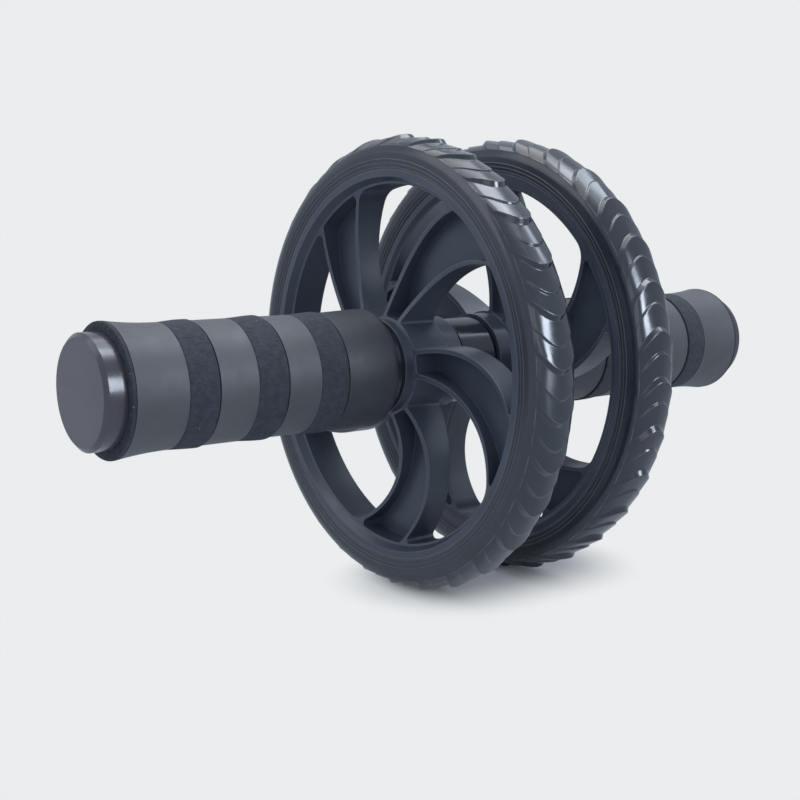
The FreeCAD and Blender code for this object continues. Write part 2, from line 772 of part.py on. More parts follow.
def make_parts(doc):
    """All sub-parts, in the order in which they go together."""
    bodies = [make_axle(doc), make_centre_spacer(doc)]
    for side in SIDES:
        bodies.append(make_wheel_core(doc, side))
        bodies.append(make_tyre(doc, side))
        bodies.append(make_bush(doc, side, "inner"))
        bodies.append(make_bush(doc, side, "outer"))
        bodies.append(make_handle_core(doc, side))
        bodies.append(make_axle_washer(doc, side))
        bodies.append(make_lock_nut(doc, side))
        bodies.extend(make_grip(doc, side))
        bodies.append(make_end_cap(doc, side))
    return bodies


def check(doc, bodies):
    """Stop if any object failed or any sub-part isn't one sound solid."""
    for item in doc.Objects:
        if "Invalid" in item.State or "Error" in item.State:
            raise RuntimeError(f"{item.Label} failed: {item.State}")
    for body in bodies:
        if body.Shape.isNull() or not body.Shape.isValid() or len(body.Shape.Solids) != 1:
            raise RuntimeError(f"{body.Label} is not one sound solid")


def main():
    doc = FreeCAD.newDocument("ab_wheel_roller")
    make_sheet(doc)
    bodies = make_parts(doc)
    doc.recompute()
    check(doc, bodies)
    os.makedirs("parts", exist_ok=True)
    for body in bodies:
        body.Shape.exportStep(f"parts/{body.Label}.step")
        print(f"{body.Label}: {body.Shape.Volume / 1000:.2f} cm3")


main()
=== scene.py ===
"""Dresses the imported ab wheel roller: finishes for its solids, foam bands, tyre ridges and a studio.

Metres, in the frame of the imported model. The axle lies along Y with the left side at -Y, +Z is up,
and the wheels stand on the floor.
"""

import json
import logging
import math
from dataclasses import dataclass
from enum import Enum

import bmesh
import bpy
from mathutils import Matrix, Vector, noise

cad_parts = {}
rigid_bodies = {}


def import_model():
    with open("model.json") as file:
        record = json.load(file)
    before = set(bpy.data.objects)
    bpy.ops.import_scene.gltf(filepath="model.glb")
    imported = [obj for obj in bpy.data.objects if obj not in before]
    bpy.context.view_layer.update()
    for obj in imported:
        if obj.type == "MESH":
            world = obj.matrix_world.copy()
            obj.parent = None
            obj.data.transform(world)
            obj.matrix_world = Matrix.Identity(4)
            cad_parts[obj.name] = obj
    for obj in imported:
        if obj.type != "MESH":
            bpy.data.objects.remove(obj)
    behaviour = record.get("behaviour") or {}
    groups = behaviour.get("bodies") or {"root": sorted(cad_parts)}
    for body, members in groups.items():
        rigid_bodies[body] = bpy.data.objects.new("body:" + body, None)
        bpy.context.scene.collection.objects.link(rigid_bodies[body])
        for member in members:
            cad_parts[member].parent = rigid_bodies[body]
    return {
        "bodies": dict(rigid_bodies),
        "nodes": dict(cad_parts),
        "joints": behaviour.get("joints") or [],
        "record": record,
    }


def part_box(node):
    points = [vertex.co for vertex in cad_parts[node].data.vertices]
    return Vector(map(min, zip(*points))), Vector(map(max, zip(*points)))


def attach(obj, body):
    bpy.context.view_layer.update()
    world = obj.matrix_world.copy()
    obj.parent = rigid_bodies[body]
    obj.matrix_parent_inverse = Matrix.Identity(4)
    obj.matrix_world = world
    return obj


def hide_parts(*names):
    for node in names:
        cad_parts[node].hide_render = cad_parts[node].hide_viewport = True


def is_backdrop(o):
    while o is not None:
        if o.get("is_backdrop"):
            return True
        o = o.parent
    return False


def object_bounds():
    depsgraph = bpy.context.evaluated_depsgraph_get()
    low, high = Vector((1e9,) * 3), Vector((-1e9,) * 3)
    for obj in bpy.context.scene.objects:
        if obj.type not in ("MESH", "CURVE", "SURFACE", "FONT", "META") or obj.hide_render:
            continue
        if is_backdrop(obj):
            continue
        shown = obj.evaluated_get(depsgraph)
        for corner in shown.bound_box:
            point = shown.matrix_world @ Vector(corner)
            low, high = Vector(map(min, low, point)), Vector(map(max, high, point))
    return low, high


LOG = logging.getLogger("ab_wheel_roller")
MM = 0.001
HANDLE_BODY = "axle_and_handles"
FOAM_RINGS = (1, 2, 3)
# Corners of a turned piece that are closer than this, in metres, are one corner
WELD = 1e-7

# Finer layers of a noise pattern, and the two values between which most of it lies
NOISE_DETAIL = 3.0
NOISE_LOW = 0.3
NOISE_HIGH = 0.7
# Patches of different shine that fit across one blotch of colour
SHINE_PER_BLOTCH = 3
# The painted edge highlight starts, and is full, where the rounded normal agrees this far with the true one
BEND_START = 0.995
BEND_FULL = 0.9
# It also starts, and is full, where the surface is this open within so many widths of the edge
OPEN_START = 0.8
OPEN_FULL = 0.98
OPEN_WIDTHS = 2
EDGE_SAMPLES = 8
# The Mix node's sockets go by number, because their names repeat for each type that it can mix
MIX_SHARE = 0
MIX_NUMBER_A = 2
MIX_NUMBER_B = 3
MIX_COLOUR_A = 6
MIX_COLOUR_B = 7
MIXED_NUMBER = 0
MIXED_COLOUR = 2


class Side(Enum):
    """A half of the roller, by the sign of its place along the axle."""

    LEFT = -1
    RIGHT = 1

    @property
    def label(self) -> str:
        """The word that starts the names of this side's pieces."""
        return self.name.lower()

    @property
    def wheel_body(self) -> str:
        """The moving body that this side's wheel belongs to."""
        return f"{self.label}_wheel"


def linear(hex_colour: str) -> tuple[float, float, float, float]:
    """Turn an sRGB hex colour into linear light.

    Args:
        hex_colour: Six hex digits after a hash sign.

    Returns:
        Red, green, blue and an alpha of 1.
    """
    channels = [int(hex_colour[start:start + 2], 16) / 255 for start in (1, 3, 5)]
    red, green, blue = (
        value / 12.92 if value <= 0.04045 else ((value + 0.055) / 1.055) ** 2.4 for value in channels
    )
    return red, green, blue, 1.0


def add_node(tree: bpy.types.NodeTree, kind: str, inputs: dict | None = None,
             **settings: object) -> bpy.types.Node:
    """Add a shader node with its settings and links.

    Args:
        tree: The node tree that the node goes into.
        kind: The node's type name.
        inputs: What goes into its sockets, by name or number: another socket or a constant.
        **settings: Properties of the node itself.

    Returns:
        The new node.
    """
    node = tree.nodes.new(kind)
    for name, value in settings.items():
        setattr(node, name, value)
    for name, value in (inputs or {}).items():
        if isinstance(value, bpy.types.NodeSocket):
            tree.links.new(value, node.inputs[name])
        else:
            node.inputs[name].default_value = value
    return node


@dataclass(frozen=True)
class Finish:
    """A surface with broad mottling, a fine grain in relief and a roughness that wanders.

    The pattern sizes are in millimetres. The grain of a moulded skin is really about 0.2 mm, which is
    too fine to show, so it is drawn coarser.
    """

    name: str
    deep: str
    pale: str
    smooth: float
    rough: float
    mottle_mm: float = 25.0
    grain_mm: float = 0.9
    relief_mm: float = 0.03
    metallic: float = 0.0
    ior: float = 1.5
    coat: float = 0.0
    coat_roughness: float = 0.1
    edge_mm: float = 0.0
    # Colour of the painted highlight on outward edges; none where empty
    edge: str = ""

    @property
    def shine_mm(self) -> float:
        """The width of a patch of shine."""
        return self.mottle_mm / SHINE_PER_BLOTCH

    def material(self) -> bpy.types.Material:
        """Build the finish as a material.

        Returns:
            The material, ready to be put on pieces.
        """
        material = bpy.data.materials.new(self.name)
        material.use_nodes = True
        tree = material.node_tree
        tree.nodes.clear()
        place = add_node(tree, "ShaderNodeTexCoord").outputs["Object"]
        shader = add_node(tree, "ShaderNodeBsdfPrincipled", {
            "Base Color": self.colour(tree, place),
            "Roughness": self.roughness(tree, place),
            "Normal": self.relief(tree, place),
            "Metallic": self.metallic,
            "IOR": self.ior,
            "Coat Weight": self.coat,
            "Coat Roughness": self.coat_roughness,
        })
        add_node(tree, "ShaderNodeOutputMaterial", {"Surface": shader.outputs["BSDF"]})
        return material

    def colour(self, tree: bpy.types.NodeTree, place: bpy.types.NodeSocket) -> bpy.types.NodeSocket:
        """Mottle between the deep and the pale colour, with a painted highlight on outward edges where the
        finish has an edge colour.

        Args:
            tree: The material's node tree.
            place: Where the pattern is read.

        Returns:
            The colour.
        """
        mottle = add_node(tree, "ShaderNodeTexNoise", {
            "Vector": place, "Scale": 1 / (self.mottle_mm * MM), "Detail": NOISE_DETAIL,
        })
        ramp = add_node(tree, "ShaderNodeValToRGB", {"Fac": mottle.outputs["Fac"]})
        ramp.color_ramp.elements[0].position = NOISE_LOW
        ramp.color_ramp.elements[0].color = linear(self.deep)
        ramp.color_ramp.elements[1].position = NOISE_HIGH
        ramp.color_ramp.elements[1].color = linear(self.pale)
        if not self.edge:
            return ramp.outputs["Color"]
        # Painted highlight: outward edges are painted pale
        mix = add_node(tree, "ShaderNodeMix", {
            MIX_SHARE: self.edges(tree), MIX_COLOUR_A: ramp.outputs["Color"], MIX_COLOUR_B: linear(self.edge),
        }, data_type="RGBA")
        return mix.outputs[MIXED_COLOUR]

    def edges(self, tree: bpy.types.NodeTree) -> bpy.types.NodeSocket:
        """Find the outward edges, which are painted pale as a painted highlight of edges catching the light.

        Args:
            tree: The material's node tree.

        Returns:
            1 on an outward edge, 0 on a flat or in a corner.
        """
        bent = add_node(tree, "ShaderNodeBevel", {"Radius": self.edge_mm * MM}, samples=EDGE_SAMPLES)
        true = add_node(tree, "ShaderNodeNewGeometry")
        turn = add_node(tree, "ShaderNodeVectorMath", {
            0: bent.outputs["Normal"], 1: true.outputs["Normal"],
        }, operation="DOT_PRODUCT")
        bend = add_node(tree, "ShaderNodeMapRange", {
            "Value": turn.outputs["Value"], "From Min": BEND_START, "From Max": BEND_FULL,
        })
        openness = add_node(tree, "ShaderNodeAmbientOcclusion", {
            "Distance": OPEN_WIDTHS * self.edge_mm * MM,
        }, samples=EDGE_SAMPLES, only_local=True)
        outward = add_node(tree, "ShaderNodeMapRange", {
            "Value": openness.outputs["AO"], "From Min": OPEN_START, "From Max": OPEN_FULL,
        })
        painted_edge_highlight = add_node(tree, "ShaderNodeMath", {
            0: bend.outputs["Result"], 1: outward.outputs["Result"],
        }, operation="MULTIPLY")
        return painted_edge_highlight.outputs["Value"]

    def roughness(self, tree: bpy.types.NodeTree, place: bpy.types.NodeSocket) -> bpy.types.NodeSocket:
        """Let the roughness wander between its two ends.

        Args:
            tree: The material's node tree.
            place: Where the pattern is read.

        Returns:
            The roughness.
        """
        patches = add_node(tree, "ShaderNodeTexNoise", {
            "Vector": place, "Scale": 1 / (self.shine_mm * MM), "Detail": NOISE_DETAIL,
        })
        spread = add_node(tree, "ShaderNodeMapRange", {
            "Value": patches.outputs["Fac"], "From Min": NOISE_LOW, "From Max": NOISE_HIGH,
            "To Min": self.smooth, "To Max": self.rough,
        })
        return spread.outputs["Result"]

    def relief(self, tree: bpy.types.NodeTree, place: bpy.types.NodeSocket) -> bpy.types.NodeSocket:
        """Raise the grain over edges that the mould left slightly round.

        Args:
            tree: The material's node tree.
            place: Where the pattern is read.

        Returns:
            The surface normal.
        """
        grain = add_node(tree, "ShaderNodeTexNoise", {
            "Vector": place, "Scale": 1 / (self.grain_mm * MM), "Detail": NOISE_DETAIL,
        })
        bump = add_node(tree, "ShaderNodeBump", {
            "Height": grain.outputs["Fac"], "Distance": self.relief_mm * MM, "Strength": 1.0,
        })
        if self.edge_mm:
            edge = add_node(tree, "ShaderNodeBevel", {"Radius": self.edge_mm * MM}, samples=EDGE_SAMPLES)
            tree.links.new(edge.outputs["Normal"], bump.inputs["Normal"])
        return bump.outputs["Normal"]


@dataclass(frozen=True)
class TyreRubber(Finish):
    """Moulded rubber: a satin sidewall, and a tread that came glossy out of a polished mould."""

    tread_smooth: float = 0.13
    tread_rough: float = 0.24
    tread_start_mm: float = 81.4
    tread_full_mm: float = 83.0

    def roughness(self, tree: bpy.types.NodeTree, place: bpy.types.NodeSocket) -> bpy.types.NodeSocket:
        """Grow glossier from the sidewall to the tread, by the distance from the axle.

        Args:
            tree: The material's node tree.
            place: Where the pattern is read.

        Returns:
            The roughness.
        """
        flat = add_node(tree, "ShaderNodeVectorMath", {0: place, 1: (1.0, 0.0, 1.0)}, operation="MULTIPLY")
        radius = add_node(tree, "ShaderNodeVectorMath", {0: flat.outputs["Vector"]}, operation="LENGTH")
        tread = add_node(tree, "ShaderNodeMapRange", {
            "Value": radius.outputs["Value"],
            "From Min": self.tread_start_mm * MM, "From Max": self.tread_full_mm * MM,
        })
        patches = add_node(tree, "ShaderNodeTexNoise", {
            "Vector": place, "Scale": 1 / (self.shine_mm * MM), "Detail": NOISE_DETAIL,
        })
        ends = []
        for smooth, rough in ((self.smooth, self.rough), (self.tread_smooth, self.tread_rough)):
            spread = add_node(tree, "ShaderNodeMapRange", {
                "Value": patches.outputs["Fac"], "From Min": NOISE_LOW, "From Max": NOISE_HIGH,
                "To Min": smooth, "To Max": rough,
            })
            ends.append(spread.outputs["Result"])
        mix = add_node(tree, "ShaderNodeMix", {
            MIX_SHARE: tread.outputs["Result"], MIX_NUMBER_A: ends[0], MIX_NUMBER_B: ends[1],
        })
        return mix.outputs[MIXED_NUMBER]


@dataclass(frozen=True)
class ClosedCellFoam(Finish):
    """Matt foam skin: burst cells all over, and a few pale specks of dust.

    Real cells are about 0.5 mm wide and are drawn coarser, so that they show. A speck starts at its rim
    and is full at its core, both measured from its middle as shares of the specks' spacing.
    """

    cell_mm: float = 1.1
    pit_strength: float = 0.6
    speck_mm: float = 6.0
    speck_rim: float = 0.05
    speck_core: float = 0.035
    speck: str = "#8d9299"

    def colour(self, tree: bpy.types.NodeTree, place: bpy.types.NodeSocket) -> bpy.types.NodeSocket:
        """Scatter pale specks over the mottled foam.

        Args:
            tree: The material's node tree.
            place: Where the pattern is read.

        Returns:
            The colour.
        """
        cells = add_node(tree, "ShaderNodeTexVoronoi", {"Vector": place, "Scale": 1 / (self.speck_mm * MM)})
        dust = add_node(tree, "ShaderNodeMapRange", {
            "Value": cells.outputs["Distance"], "From Min": self.speck_rim, "From Max": self.speck_core,
        })
        mix = add_node(tree, "ShaderNodeMix", {
            MIX_SHARE: dust.outputs["Result"],
            MIX_COLOUR_A: super().colour(tree, place), MIX_COLOUR_B: linear(self.speck),
        }, data_type="RGBA")
        return mix.outputs[MIXED_COLOUR]

    def relief(self, tree: bpy.types.NodeTree, place: bpy.types.NodeSocket) -> bpy.types.NodeSocket:
        """Sink a pit for each burst cell into the foam's wrinkles.

        Args:
            tree: The material's node tree.
            place: Where the pattern is read.

        Returns:
            The surface normal.
        """
        cells = add_node(tree, "ShaderNodeTexVoronoi", {"Vector": place, "Scale": 1 / (self.cell_mm * MM)})
        pits = add_node(tree, "ShaderNodeBump", {
            "Height": cells.outputs["Distance"], "Distance": self.relief_mm * MM,
            "Strength": self.pit_strength,
        })
        creases = add_node(tree, "ShaderNodeTexNoise", {
            "Vector": place, "Scale": 1 / (self.grain_mm * MM), "Detail": NOISE_DETAIL,
        })
        wrinkles = add_node(tree, "ShaderNodeBump", {
            "Height": creases.outputs["Fac"], "Distance": self.relief_mm * MM,
            "Normal": pits.outputs["Normal"], "Strength": 1.0,
        })
        return wrinkles.outputs["Normal"]


FINISHES = {
    # Zinc-plated steel rod: a grey metal with a soft, slightly cloudy shine.
    "steel": Finish(
        "zinc_plated_steel", deep="#8f9296", pale="#a9acb0", smooth=0.28, rough=0.4,
        grain_mm=0.6, relief_mm=0.01, metallic=1.0,
    ),
    # Moulded ABS of the handle core and spacer: even blue charcoal with a clear shine along its top.
    "black_plastic": Finish(
        "moulded_abs", deep="#292e37", pale="#30353f", smooth=0.18, rough=0.26,
        relief_mm=0.008, edge_mm=0.3,
    ),
    # Moulded polypropylene wheel: blue charcoal, satin, with a painted highlight where its thin rib edges
    # catch the light.
    "wheel_plastic": Finish(
        "moulded_polypropylene", deep="#38404c", pale="#424b58", smooth=0.32, rough=0.44,
        mottle_mm=30, relief_mm=0.014, edge_mm=0.55, edge="#5f6874",
    ),
    # Moulded rubber tyre: a satin sidewall, and a tread with a wet-looking gloss and a painted highlight
    # along its outward edges.
    "tyre_rubber": TyreRubber(
        "moulded_rubber", deep="#242a33", pale="#2c333d", smooth=0.34, rough=0.44,
        mottle_mm=22, relief_mm=0.01, ior=1.6, edge_mm=0.6, edge="#6c737d",
    ),
    # Black nylon bushes: a close, waxy surface.
    "bush_nylon": Finish(
        "black_nylon", deep="#1c1e22", pale="#22252a", smooth=0.3, rough=0.4, relief_mm=0.01,
    ),
    # Smooth rubber grip rings: mid grey, with a dry satin skin.
    "grey_grip": Finish(
        "satin_rubber", deep="#4d4f55", pale="#56585e", smooth=0.5, rough=0.6,
        mottle_mm=14, grain_mm=0.7, relief_mm=0.02, edge_mm=0.3,
    ),
    # The grip ring by the wheel: the same smooth rubber, painted a darker grey as painted shade near the
    # wheel.
    "painted_shade_grip": Finish(
        "dark_satin_rubber", deep="#34373d", pale="#3b3e44", smooth=0.5, rough=0.6,
        mottle_mm=14, grain_mm=0.7, relief_mm=0.02, edge_mm=0.3,
    ),
    # Closed-cell foam bands: dark, dull and pitted, with a crumpled skin.
    "dark_foam": ClosedCellFoam(
        "closed_cell_foam", deep="#2a2f38", pale="#3a414c", smooth=0.85, rough=0.95,
        mottle_mm=2.5, grain_mm=2.4, relief_mm=0.4,
    ),
    # Polished ABS caps: grey under a clear gloss.
    "cap_plastic": Finish(
        "polished_abs", deep="#413f48", pale="#484650", smooth=0.2, rough=0.28,
        mottle_mm=18, relief_mm=0.004, coat=0.15, edge_mm=0.6,
    ),
}
# Nodes painted darker than the rest of their slot, as painted shade
PAINTED_SHADE_FINISH = {"left_grip_ring_1": "painted_shade_grip", "right_grip_ring_1": "painted_shade_grip"}


@dataclass(frozen=True)
class Wardrobe:
    """The finished materials, by the record's slots and the names of the painted-shade finishes."""

    materials: dict[str, bpy.types.Material]

    def dress(self, piece: bpy.types.Object, finish: str) -> None:
        """Put a finish on a piece, in place of any that it has.

        Args:
            piece: The mesh object.
            finish: The record's material slot, or the name of a painted-shade finish.
        """
        piece.data.materials.clear()
        piece.data.materials.append(self.materials[finish])

    def dress_solids(self, frame: dict) -> None:
        """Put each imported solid's material on it.
        """
        for subpart in frame["record"]["subparts"]:
            finish = PAINTED_SHADE_FINISH.get(subpart["node"], subpart["material_slot"])
            self.dress(frame["nodes"][subpart["node"]], finish)
            LOG.info("dressed %s in %s", subpart["node"], finish)


def spun(name: str, outlines: list[list[tuple[float, float]]], steps: int) -> bpy.types.Object:
    """Turn closed outlines once round the axle.

    Args:
        name: The piece's name.
        outlines: Closed outlines of (distance along Y, radius) corners, in metres.
        steps: How many steps one turn takes.

    Returns:
        The turned piece, linked into the scene.
    """
    shape = bmesh.new()
    for outline in outlines:
        corners = [shape.verts.new((radius, along, 0.0)) for along, radius in outline]
        edges = [shape.edges.new(pair) for pair in zip(corners, corners[1:] + corners[:1])]
        bmesh.ops.spin(shape, geom=corners + edges, axis=(0, 1, 0), cent=(0, 0, 0), angle=math.tau,
                       steps=steps, use_merge=True)
    bmesh.ops.remove_doubles(shape, verts=shape.verts, dist=WELD)
    bmesh.ops.recalc_face_normals(shape, faces=shape.faces)
    mesh = bpy.data.meshes.new(name)
    shape.to_mesh(mesh)
    shape.free()
    mesh.shade_smooth()
    piece = bpy.data.objects.new(name, mesh)
    bpy.context.scene.collection.objects.link(piece)
    return piece


@dataclass
class FoamBand:
    """A foam band of a grip: flush with its outer ring, and proud of the inner one behind a thin groove.

    The two lip sizes are shares of the rounded edge: how far in from the outer end the lip's corner lies,
    and how far down. The foam within firm_mm of the bore doesn't swell.
    """

    side: Side
    node: str
    bore_mm: float = 17.1
    flush_mm: float = 22.05
    proud_mm: float = 22.6
    fall_power: float = 1.6
    edge_round_mm: float = 0.5
    edge_steps: int = 3
    lip_in: float = 0.3
    lip_down: float = 0.25
    seat_gap_mm: float = 0.06
    groove_mm: float = 0.6
    firm_mm: float = 1.0
    swell_mm: float = 0.1
    swell_size_mm: float = 7.0
    across: int = 14
    around: int = 200

    def ends(self) -> tuple[float, float]:
        """How far the solid's two ends lie from the roller's middle.

        Returns:
            The nearer distance and the further one along Y, in metres.
        """
        low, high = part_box(self.node)
        near, far = sorted((abs(low[1]), abs(high[1])))
        return near, far

    def outline(self) -> list[tuple[float, float]]:
        """The band's section, from the wheel outwards and back.

        Returns:
            Corners as (distance along Y, radius), in metres.
        """
        near, far = self.ends()
        start, finish = near + self.groove_mm * MM, far - self.seat_gap_mm * MM
        edge = self.edge_round_mm * MM
        foot = self.proud_mm * MM - edge
        top = [(start, foot)]
        for number in range(1, self.edge_steps + 1):
            turn = math.pi / 2 * number / self.edge_steps
            top.append((start + edge * (1 - math.cos(turn)), foot + edge * math.sin(turn)))
        crest, crest_radius = top[-1]
        span = finish - edge - crest
        fall = (self.proud_mm - self.flush_mm) * MM
        for number in range(1, self.across + 1):
            share = number / self.across
            top.append((crest + span * share, crest_radius - fall * share ** self.fall_power))
        flush = top[-1][1]
        top.append((finish - edge * self.lip_in, flush - edge * self.lip_down))
        top.append((finish, flush - edge))
        section = [(start, self.bore_mm * MM)] + top + [(finish, self.bore_mm * MM)]
        return [(along * self.side.value, radius) for along, radius in section]

    def swell(self, piece: bpy.types.Object) -> None:
        """Let the foam swell and sink a little where the eye sees it.

        Args:
            piece: The turned band.
        """
        for vertex in piece.data.vertices:
            place = vertex.co
            radius = math.hypot(place.x, place.z)
            if radius < (self.bore_mm + self.firm_mm) * MM:
                continue
            lift = noise.noise(place / (self.swell_size_mm * MM)) * self.swell_mm * MM
            grow = (radius + lift) / radius
            vertex.co = (place.x * grow, place.y, place.z * grow)

    def build(self, wardrobe: Wardrobe) -> bpy.types.Object:
        """Make the band, dress it and seat it in place of its solid.

        Args:
            wardrobe: The finished materials.

        Returns:
            The band.
        """
        piece = spun(f"{self.node}_foam", [self.outline()], self.around)
        self.swell(piece)
        wardrobe.dress(piece, "dark_foam")
        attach(piece, HANDLE_BODY)
        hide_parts(self.node)
        return piece


@dataclass
class FoamCollar(FoamBand):
    """The foam collar whose face shows round the end cap.

    Its inner shoulder is cut back along the axle by a share of the rounded edge.
    """

    face_radius_mm: float = 23.55
    shoulder_cut: float = 0.4
    corner_steps: int = 4
    face_rings: int = 5

    def outline(self) -> list[tuple[float, float]]:
        """The collar's section, with a soft outer edge.

        Returns:
            Corners as (distance along Y, radius), in metres.
        """
        near, finish = self.ends()
        start = near + self.seat_gap_mm * MM
        edge = self.edge_round_mm * MM
        outer = self.face_radius_mm * MM
        shoulder = (start + edge * self.shoulder_cut, outer)
        section = [(start, self.bore_mm * MM), (start, outer - edge), shoulder]
        for number in range(self.corner_steps + 1):
            turn = math.pi / 2 * number / self.corner_steps
            section.append((finish - edge + edge * math.sin(turn), outer - edge + edge * math.cos(turn)))
        for number in range(1, self.face_rings + 1):
            share = number / self.face_rings
            section.append((finish, outer - edge + (self.bore_mm * MM - outer + edge) * share))
        return [(along * self.side.value, radius) for along, radius in section]


@dataclass
class TyreRidges:
    """The fine raised lines that run round both sidewalls of a tyre.

    The bead is the section of one line, in half widths and heights, with its foot sunk in the sidewall.
    """

    side: Side
    radii_mm: tuple[float, ...] = (76.4, 77.9, 79.4)
    wheel_offset_mm: float = 25.85
    rim_half_mm: float = 9.35
    tyre_half_mm: float = 10.0
    foot_mm: float = 75.6
    shoulder_mm: float = 81.8
    sidewall_round_mm: float = 20.0
    half_width_mm: float = 0.3
    height_mm: float = 0.2
    sunk_mm: float = 0.1
    bead: tuple[tuple[float, float], ...] = (
        (-1.0, -1.0), (-1.0, 0.2), (-0.5, 0.85), (0.0, 1.0), (0.5, 0.85), (1.0, 0.2), (1.0, -1.0),
    )
    around: int = 240

    def wall(self, radius_mm: float) -> float:
        """How far the sidewall stands from the wheel's middle.

        Args:
            radius_mm: The distance from the axle.

        Returns:
            The distance along Y, in millimetres.
        """
        rise = self.shoulder_mm - self.foot_mm
        lean = self.tyre_half_mm - self.rim_half_mm
        share = (radius_mm - self.foot_mm) / rise
        # The height of a flat arc over its chord, which is all but a parabola along it
        bulge = (rise ** 2 + lean ** 2) / (8 * self.sidewall_round_mm)
        return self.rim_half_mm + lean * share + 4 * bulge * share * (1 - share)

    def outline(self, radius_mm: float, facing: int) -> list[tuple[float, float]]:
        """The section of one ridge: a low round bead with its foot in the sidewall.

        Args:
            radius_mm: The ridge's distance from the axle.
            facing: 1 on the outer sidewall and -1 on the inner.

        Returns:
            Corners as (distance along Y, radius), in metres.
        """
        corners = []
        for across, up in self.bead:
            radius = radius_mm + across * self.half_width_mm
            height = up * self.height_mm if up > 0 else -self.sunk_mm
            along = self.wheel_offset_mm + facing * (self.wall(radius) + height)
            corners.append((along * self.side.value * MM, radius * MM))
        return corners

    def build(self, wardrobe: Wardrobe) -> bpy.types.Object:
        """Make the ridges of one tyre and dress them.

        Args:
            wardrobe: The finished materials.

        Returns:
            The ridges, as one piece.
        """
        outlines = [self.outline(radius, facing) for radius in self.radii_mm for facing in (1, -1)]
        piece = spun(f"{self.side.label}_tyre_ridges", outlines, self.around)
        wardrobe.dress(piece, "tyre_rubber")
        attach(piece, self.side.wheel_body)
        return piece


@dataclass(frozen=True)
class SoftBox:
    """A rectangular studio lamp, or a bright card that only shows in glossy surfaces.

    It points at the roller's middle. Sizes are in metres and the power in watts.
    """

    name: str
    place: tuple[float, float, float]
    width: float
    height: float
    power: float
    colour: str = "#ffffff"
    mirrored_only: bool = False

    def build(self) -> bpy.types.Object:
        """Hang the lamp and point it.

        Returns:
            The lamp.
        """
        lamp = bpy.data.lights.new(self.name, "AREA")
        lamp.shape = "RECTANGLE"
        lamp.size = self.width
        lamp.size_y = self.height
        lamp.energy = self.power
        lamp.color = linear(self.colour)[:3]
        box = bpy.data.objects.new(self.name, lamp)
        facing = -Vector(self.place)
        turn = facing.to_track_quat("-Z", "Y").to_matrix().to_4x4()
        box.matrix_world = Matrix.Translation(self.place) @ turn
        box.visible_diffuse = not self.mirrored_only
        bpy.context.scene.collection.objects.link(box)
        return box


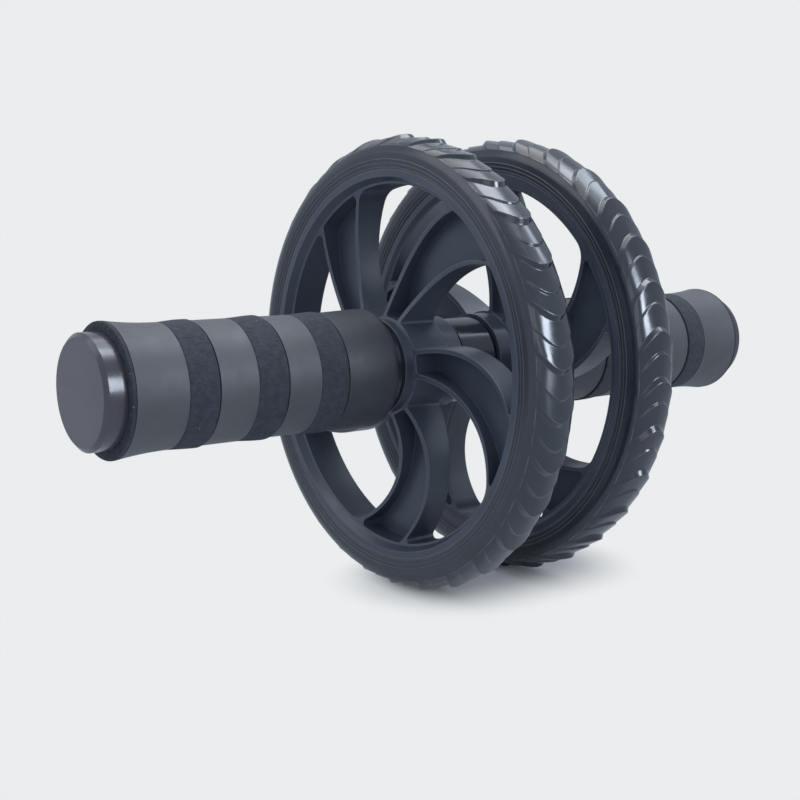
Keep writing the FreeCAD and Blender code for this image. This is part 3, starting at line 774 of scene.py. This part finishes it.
@dataclass(frozen=True)
class Studio:
    """The pale floor and backdrop, the lamps and the photograph's viewpoint.

    The room is what glossy surfaces mirror in place of the backdrop. The floor keeps its shade round a short
    line near where the wheels stand, and clears to the backdrop from shade_start to shade_end off that line.
    Sizes are in metres unless their name says millimetres, and the camera's turns are in degrees.
    """

    backdrop: str = "#ebedee"
    room: str = "#c2ccda"
    paper: str = "#e4e6e9"
    paper_roughness: float = 0.5
    ambient: str = "#e6eefa"
    ambient_strength: float = 0.67
    floor_half: float = 3.0
    shade_place: tuple[float, float, float] = (0.008, 0.014, 0.0)
    shade_half: float = 0.022
    shade_start: float = 0.01
    shade_end: float = 0.052
    camera_place: tuple[float, float, float] = (0.3933, -0.33723, 0.06555)
    camera_heading: float = 51.731
    camera_tilt: float = 80.962
    camera_roll: float = 0.72
    camera_near: float = 0.01
    lens_mm: float = 57.673
    sensor_mm: float = 36.0
    lamps: tuple[SoftBox, ...] = (
        SoftBox("overhead_box", (-0.2, 0.05, 0.95), 1.0, 1.0, 5.6),
        SoftBox("left_fill", (-0.6, -1.0, 0.6), 0.7, 0.7, 1.6),
        SoftBox("right_fill", (0.9, -0.6, 0.35), 0.5, 0.5, 0.7),
        SoftBox("window_card", (1.12, 0.26, 0.4), 0.36, 0.52, 10.8, "#e3f0ff", mirrored_only=True),
        SoftBox("ceiling_card", (0.05, 0.35, 1.0), 0.3, 1.1, 6.0, "#e3f0ff", mirrored_only=True),
    )

    def build_floor(self, height: float) -> bpy.types.Object:
        """Lay a pale floor that fades into the backdrop.

        Args:
            height: The floor's height, where the wheels stand.

        Returns:
            The floor.
        """
        shape = bmesh.new()
        bmesh.ops.create_grid(shape, x_segments=1, y_segments=1, size=self.floor_half)
        bmesh.ops.translate(shape, verts=shape.verts, vec=(0.0, 0.0, height))
        mesh = bpy.data.meshes.new("studio_floor")
        shape.to_mesh(mesh)
        shape.free()
        floor = bpy.data.objects.new("studio_floor", mesh)
        bpy.context.scene.collection.objects.link(floor)
        mesh.materials.append(self.floor_material())
        floor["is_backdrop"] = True
        return floor

    def shown(self, tree: bpy.types.NodeTree, kind: str) -> bpy.types.NodeSocket:
        """Add what glossy surfaces mirror and what the camera sees, as one plain colour each.

        Args:
            tree: The node tree that it goes into.
            kind: The type name of the shader node that gives off the colour.

        Returns:
            The room for a ray from a glossy surface, otherwise the backdrop.
        """
        rays = add_node(tree, "ShaderNodeLightPath")
        backdrop = add_node(tree, kind, {"Color": linear(self.backdrop), "Strength": 1.0})
        room = add_node(tree, kind, {"Color": linear(self.room), "Strength": 1.0})
        mix = add_node(tree, "ShaderNodeMixShader", {
            0: rays.outputs["Is Glossy Ray"], 1: backdrop.outputs[0], 2: room.outputs[0],
        })
        return mix.outputs["Shader"]

    def seen(self, tree: bpy.types.NodeTree) -> bpy.types.NodeSocket:
        """Tell what the eye sees, straight or mirrored, from the light that falls on the roller.

        Args:
            tree: The node tree that asks.

        Returns:
            1 for a ray from the camera or from a mirroring surface, otherwise 0.
        """
        rays = add_node(tree, "ShaderNodeLightPath")
        seen = add_node(tree, "ShaderNodeMath", {
            0: rays.outputs["Is Camera Ray"], 1: rays.outputs["Is Glossy Ray"],
        }, operation="MAXIMUM")
        return seen.outputs["Value"]

    def floor_material(self) -> bpy.types.Material:
        """Matt pale paper that keeps the wheels' soft shade and clears to the backdrop away from them.

        Returns:
            The floor's material.
        """
        material = bpy.data.materials.new("studio_paper")
        material.use_nodes = True
        tree = material.node_tree
        tree.nodes.clear()
        place = add_node(tree, "ShaderNodeTexCoord").outputs["Object"]
        # Distance from a short line beside the one on which the two wheels stand
        shifted = add_node(tree, "ShaderNodeVectorMath", {
            0: place, 1: self.shade_place,
        }, operation="SUBTRACT")
        folded = add_node(tree, "ShaderNodeVectorMath", {0: shifted.outputs["Vector"]}, operation="ABSOLUTE")
        beyond = add_node(tree, "ShaderNodeVectorMath", {
            0: folded.outputs["Vector"], 1: (0.0, self.shade_half, 0.0),
        }, operation="SUBTRACT")
        outside = add_node(tree, "ShaderNodeVectorMath", {0: beyond.outputs["Vector"]}, operation="MAXIMUM")
        flat = add_node(tree, "ShaderNodeVectorMath", {
            0: outside.outputs["Vector"], 1: (1.0, 1.0, 0.0),
        }, operation="MULTIPLY")
        reach = add_node(tree, "ShaderNodeVectorMath", {0: flat.outputs["Vector"]}, operation="LENGTH")
        clearing = add_node(tree, "ShaderNodeMapRange", {
            "Value": reach.outputs["Value"], "From Min": self.shade_start, "From Max": self.shade_end,
        }, interpolation_type="SMOOTHSTEP")
        clear = add_node(tree, "ShaderNodeMath", {
            0: clearing.outputs["Result"], 1: self.seen(tree),
        }, operation="MULTIPLY")
        paper = add_node(tree, "ShaderNodeBsdfDiffuse", {
            "Color": linear(self.paper), "Roughness": self.paper_roughness,
        })
        mix = add_node(tree, "ShaderNodeMixShader", {
            0: clear.outputs["Value"], 1: paper.outputs["BSDF"], 2: self.shown(tree, "ShaderNodeEmission"),
        })
        add_node(tree, "ShaderNodeOutputMaterial", {"Surface": mix.outputs["Shader"]})
        return material

    def build_world(self) -> None:
        """Light the scene softly from all round, with the backdrop or the room where it is seen."""
        world = bpy.data.worlds.new("studio")
        world.use_nodes = True
        tree = world.node_tree
        tree.nodes.clear()
        soft = add_node(tree, "ShaderNodeBackground", {
            "Color": linear(self.ambient), "Strength": self.ambient_strength,
        })
        mix = add_node(tree, "ShaderNodeMixShader", {
            0: self.seen(tree), 1: soft.outputs["Background"], 2: self.shown(tree, "ShaderNodeBackground"),
        })
        add_node(tree, "ShaderNodeOutputWorld", {"Surface": mix.outputs["Shader"]})
        bpy.context.scene.world = world

    def build_camera(self) -> bpy.types.Object:
        """Set the camera where the photograph was taken.

        Returns:
            The camera.
        """
        lens = bpy.data.cameras.new("viewpoint")
        lens.lens = self.lens_mm
        lens.sensor_width = self.sensor_mm
        lens.clip_start = self.camera_near
        camera = bpy.data.objects.new("viewpoint", lens)
        turn = (
            Matrix.Rotation(math.radians(self.camera_heading), 4, "Z")
            @ Matrix.Rotation(math.radians(self.camera_tilt), 4, "X")
            @ Matrix.Rotation(math.radians(self.camera_roll), 4, "Z")
        )
        camera.matrix_world = Matrix.Translation(self.camera_place) @ turn
        bpy.context.scene.collection.objects.link(camera)
        bpy.context.scene.camera = camera
        return camera

    def build(self, height: float) -> None:
        """Set up the whole studio.

        Args:
            height: The floor's height.
        """
        self.build_floor(height)
        self.build_world()
        self.build_camera()
        for lamp in self.lamps:
            lamp.build()
        bpy.context.scene.view_settings.view_transform = "Standard"


def plain(box: tuple) -> list[list[float]]:
    """A box's corners as plain lists of numbers."""
    return [[float(value) for value in corner] for corner in box]


def main() -> None:
    """Build the dressed roller and its studio, with the floor at the foot of the solids' box."""
    logging.basicConfig(level=logging.INFO, format="%(message)s")
    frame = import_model()
    solids_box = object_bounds()
    wardrobe = Wardrobe({slot: finish.material() for slot, finish in FINISHES.items()})
    wardrobe.dress_solids(frame)
    for side in Side:
        bands = [FoamBand(side, f"{side.label}_foam_ring_{number}") for number in FOAM_RINGS]
        bands.append(FoamCollar(side, f"{side.label}_foam_collar"))
        for band in bands:
            LOG.info("built %s", band.build(wardrobe).name)
        LOG.info("built %s", TyreRidges(side).build(wardrobe).name)
    floor_height = plain(solids_box)[0][2]
    Studio().build(floor_height)


if __name__ == "__main__":
    main()
